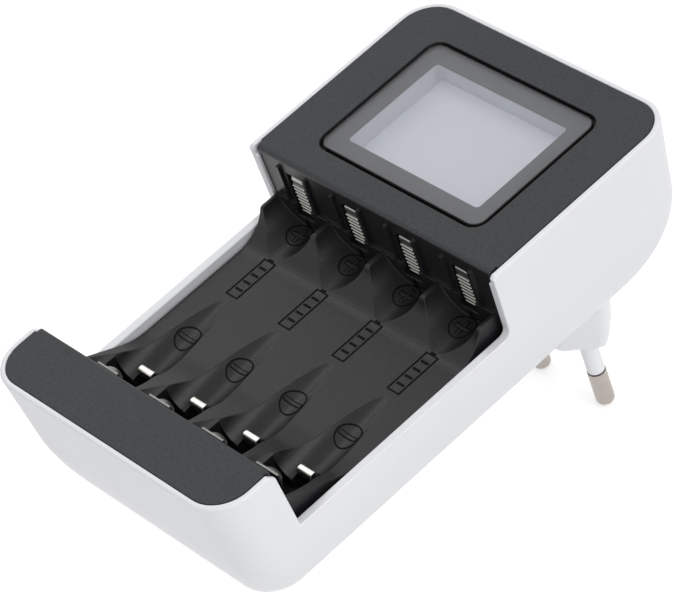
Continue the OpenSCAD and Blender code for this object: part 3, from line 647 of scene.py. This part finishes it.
finishPiece("markLines", layOnCover(outlines(marks), marks, marks["rise"]), [paintedShadeAbs])
finishPiece("markBars", layOnCover(signs(marks, 0), marks, marks["rise"]), [blackAbs])
# a near-black rim grown round every sign, just under its top: painted shade along the edges of the signs
finishPiece("markShadeRims", layOnCover(signs(marks, marks["shadeRim"]), marks, marks["shadeRimRise"]), [paintedShadeAbs])

# display glass: pale cool grey of an unlit reflective display, with a fine satin polariser
lcdGlass = mouldedPlastic("lcdGlass", {
    "colour": "#e6e8f0", "shade": "#e2e4ec", "flowMm": 40, "grainMm": 0.15,
    "roughness": 0.3, "spread": 0.04, "bump": 0.02, "ior": 1.5})

# closed-cell foam strip: deep black, open pores that swallow the light
blackFoam = mouldedPlastic("blackFoam", {
    "colour": "#121213", "shade": "#0c0c0d", "flowMm": 3, "grainMm": 0.5,
    "roughness": 0.85, "spread": 0.08, "bump": 0.6, "ior": 1.4})

# frosted acrylic sheet behind the display: milky white with a silky face
lightGuideAcrylic = mouldedPlastic("lightGuideAcrylic", {
    "colour": "#f1f3f4", "shade": "#e9eced", "flowMm": 20, "grainMm": 0.1,
    "roughness": 0.45, "spread": 0.04, "bump": 0.05, "ior": 1.49})

# glass-fibre board under green solder mask: glossy green with the faint cloudiness of the weave
circuitBoard = mouldedPlastic("circuitBoard", {
    "colour": "#23573a", "shade": "#1c4a30", "flowMm": 1.2, "grainMm": 0.4,
    "roughness": 0.32, "spread": 0.08, "bump": 0.12, "ior": 1.55})

# sintered ferrite: dull charcoal with a fine dry grain
ferrite = mouldedPlastic("ferrite", {
    "colour": "#3a3a3d", "shade": "#303033", "flowMm": 4, "grainMm": 0.12,
    "roughness": 0.62, "spread": 0.08, "bump": 0.25, "ior": 1.6})

# polyester winding tape: shiny amber film, slightly uneven over the turns below
windingTape = mouldedPlastic("windingTape", {
    "colour": "#d9b23c", "shade": "#cda22f", "flowMm": 2, "grainMm": 0.8,
    "roughness": 0.25, "spread": 0.06, "bump": 0.2, "ior": 1.6})

# shrink sleeve of the capacitors: thin glossy film in a blue-black
capacitorSleeve = mouldedPlastic("capacitorSleeve", {
    "colour": "#1b1d26", "shade": "#171923", "flowMm": 6, "grainMm": 0.6,
    "roughness": 0.22, "spread": 0.05, "bump": 0.06, "ior": 1.53})

# dipped epoxy coat of the disc capacitor: thick glossy blue with soft runs
blueEpoxy = mouldedPlastic("blueEpoxy", {
    "colour": "#2c5aa0", "shade": "#254d8c", "flowMm": 3, "grainMm": 1.0,
    "roughness": 0.2, "spread": 0.05, "bump": 0.15, "ior": 1.56})

# glazed ceramic tube of the fuse: warm cream with a soft shine
fuseCeramic = mouldedPlastic("fuseCeramic", {
    "colour": "#dccfb4", "shade": "#d1c3a6", "flowMm": 3, "grainMm": 0.3,
    "roughness": 0.3, "spread": 0.06, "bump": 0.08, "ior": 1.6})

# moulded chip epoxy: flat black with a sandy grain
chipEpoxy = mouldedPlastic("chipEpoxy", {
    "colour": "#232325", "shade": "#1d1d1f", "flowMm": 3, "grainMm": 0.15,
    "roughness": 0.6, "spread": 0.08, "bump": 0.2, "ior": 1.55})

carried = {
    "back_shell": whiteAbs, "front_cover": blackAbs, "display_window": clearAcrylic,
    "plug_body": plugPolycarbonate, "lcd_panel": lcdGlass, "lcd_holder": whiteNylon,
    "window_gasket": blackFoam, "light_guide": lightGuideAcrylic, "display_board": circuitBoard,
    "main_board": circuitBoard, "board_header": blackNylon, "transformer_core": ferrite,
    "transformer_coil": windingTape, "bulk_capacitor": capacitorSleeve, "output_capacitor": capacitorSleeve,
    "safety_capacitor": blueEpoxy, "line_fuse": fuseCeramic, "bridge_rectifier": chipEpoxy,
    "optocoupler": chipEpoxy, "controller_chip": chipEpoxy, "charge_transistors": chipEpoxy,
    "pin_sleeve_left": sleeveNylon, "pin_sleeve_right": sleeveNylon, "mains_pin_left": nickelBrass,
    "mains_pin_right": nickelBrass, "housing_screws": zincSteel, "display_screws": zincSteel}
for i in range(1, len(marks["cellX"]) + 1):
    carried[f"positive_contact_{i}"] = nickelStrip
    carried[f"aa_spring_contact_{i}"] = springSteelPaintedShade
    carried[f"aaa_spring_contact_{i}"] = nickelPaintedHighlight
for name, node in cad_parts.items():
    node.data.materials.clear()
    node.data.materials.append(carried[name])
print("materials given to the carried nodes")

studio = {"white": "#ffffff", "floor": "#e4e4e4", "floorDrop": 0.2, "floorSize": 6.0, "floorRoughness": 0.9,
          "floorGlow": 0.47, "walls": 0.62, "ceiling": 1.0, "dimSide": 0.66, "dimFrom": -0.65, "dimTo": 0.25,
          # softboxes as place, width and watts: high at the right, high at the left, and low in front
          "softboxes": {"keySoftbox": ((0.8, 0.1, 0.75), 0.6, 2.5),
                        "backSoftbox": ((-0.72, 0.15, 0.8), 0.3, 0.5),
                        "lowSoftbox": ((0.45, -0.45, 0.04), 0.3, 0.6)},
          "aim": (0.0, -0.04, 0.04)}


def seenDirectly(tree):
    # 1 for rays that show the backdrop itself: from the camera, in gloss or through clear plastic
    rays = addNode(tree, "ShaderNodeLightPath").outputs
    first = addMath(tree, "MAXIMUM", rays["Is Camera Ray"], rays["Is Glossy Ray"])
    return addMath(tree, "MAXIMUM", first, rays["Is Transmission Ray"])


def makeWorld(s):
    world = bpy.data.worlds.new("paleStudio")
    scene.world = world
    world.use_nodes = True
    tree = world.node_tree
    direction = addNode(tree, "ShaderNodeTexCoord").outputs["Generated"]
    across = addNode(tree, "ShaderNodeSeparateXYZ", None, {"Vector": direction}).outputs
    # soft ceiling light: the room is a little brighter overhead than at the walls
    room = spreadOver(tree, across["Z"], s["walls"], s["ceiling"])
    # it falls off softly towards the low end of the charger
    lowEnd = addNode(tree, "ShaderNodeMapRange", {"interpolation_type": "SMOOTHSTEP"},
                     {"Value": across["Y"], "From Min": s["dimFrom"], "From Max": s["dimTo"],
                      "To Min": s["dimSide"], "To Max": 1.0}).outputs[0]
    light = addMath(tree, "MULTIPLY", room, lowEnd)
    # the camera, gloss and clear plastic all see plain white
    strength = addMix(tree, seenDirectly(tree), light, 1.0)
    setSockets(tree, tree.nodes["Background"], {"Color": linear(s["white"]), "Strength": strength})


def makeFloor(s):
    # pale matt floor that glows just enough to meet the white background
    material, tree, shader = newMaterial("paleFloor")[:3]
    setSockets(tree, shader, {
        "Base Color": linear(s["floor"]),
        "Roughness": s["floorRoughness"],
        "Specular IOR Level": 0.0,
        "Emission Color": linear(s["white"]),
        "Emission Strength": addMath(tree, "MULTIPLY", seenDirectly(tree), s["floorGlow"])})
    bm = bmesh.new()
    bmesh.ops.create_grid(bm, x_segments=2, y_segments=2, size=s["floorSize"] / 2)
    bmesh.ops.translate(bm, vec=(0, 0, cadBox[0].z - s["floorDrop"] * mm), verts=bm.verts)
    floor = toObject("floor", bm)
    floor.data.materials.append(material)


def makeSoftboxes(s):
    for name, (place, size, power) in s["softboxes"].items():
        lamp = bpy.data.lights.new(name, "AREA")
        lamp.shape = "SQUARE"
        lamp.size = size
        lamp.energy = power
        softbox = bpy.data.objects.new(name, lamp)
        scene.collection.objects.link(softbox)
        softbox.location = place
        softbox.rotation_euler = (Vector(s["aim"]) - softbox.location).to_track_quat("-Z", "Y").to_euler()


makeWorld(studio)
makeFloor(studio)
makeSoftboxes(studio)
print("floor and light placed")

# camera of the photograph: place in millimetres, picture axes, focal length for a 36 mm wide sensor
camera = {"place": (476.294, -298.908, 531.619), "right": (0.65520686, 0.70481435, -0.27192039),
          "down": (0.37616026, -0.61653019, -0.69166031), "lens": 206.0, "sensor": 36.0}


def makeCamera(s):
    lens = bpy.data.cameras.new("photoCamera")
    lens.sensor_fit = "HORIZONTAL"
    lens.sensor_width = s["sensor"]
    lens.lens = s["lens"]
    made = bpy.data.objects.new("photoCamera", lens)
    scene.collection.objects.link(made)
    right = Vector(s["right"]).normalized()
    up = -Vector(s["down"])
    backward = right.cross(up).normalized()
    up = backward.cross(right)
    turn = Matrix((right, up, backward)).transposed().to_4x4()
    made.matrix_world = Matrix.Translation(Vector(s["place"]) * mm) @ turn
    scene.camera = made


makeCamera(camera)
print("camera placed")
